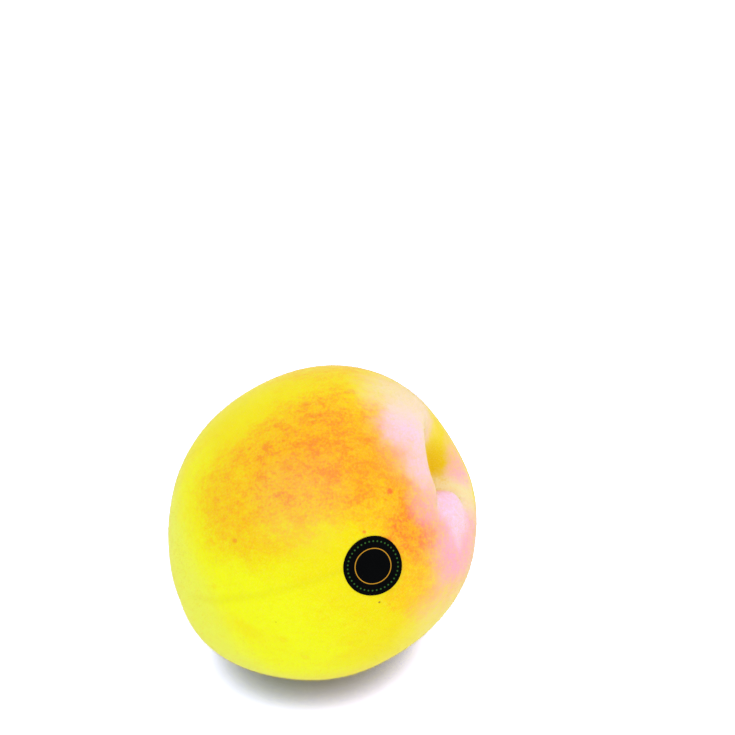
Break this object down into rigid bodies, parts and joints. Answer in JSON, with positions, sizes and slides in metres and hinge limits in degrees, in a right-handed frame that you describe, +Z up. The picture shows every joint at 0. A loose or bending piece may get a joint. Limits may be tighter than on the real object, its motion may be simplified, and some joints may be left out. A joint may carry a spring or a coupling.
{
  "type": "peach",
  "caption": "Whole ripe yellow peach with a red blush, suture, stem cavity and plain round label, lying on its cheek.",
  "frame": {"origin": "on the floor, under the middle of the fruit's bounding box", "axes": "+Z up; +X is the side that the raised stem end points to; -Y is the side that the suture and the label face"},
  "size_m": [0.0872, 0.0868, 0.0876],
  "materials": {
    "skin": "velvety fruit skin, yellow with an orange-red blush, matt with a pale bloom of down",
    "label_paper": "thin coated paper, black, slightly satin"
  },
  "bodies": {
    "root": {"peach": "skin", "label": "label_paper"}
  },
  "joints": []
}
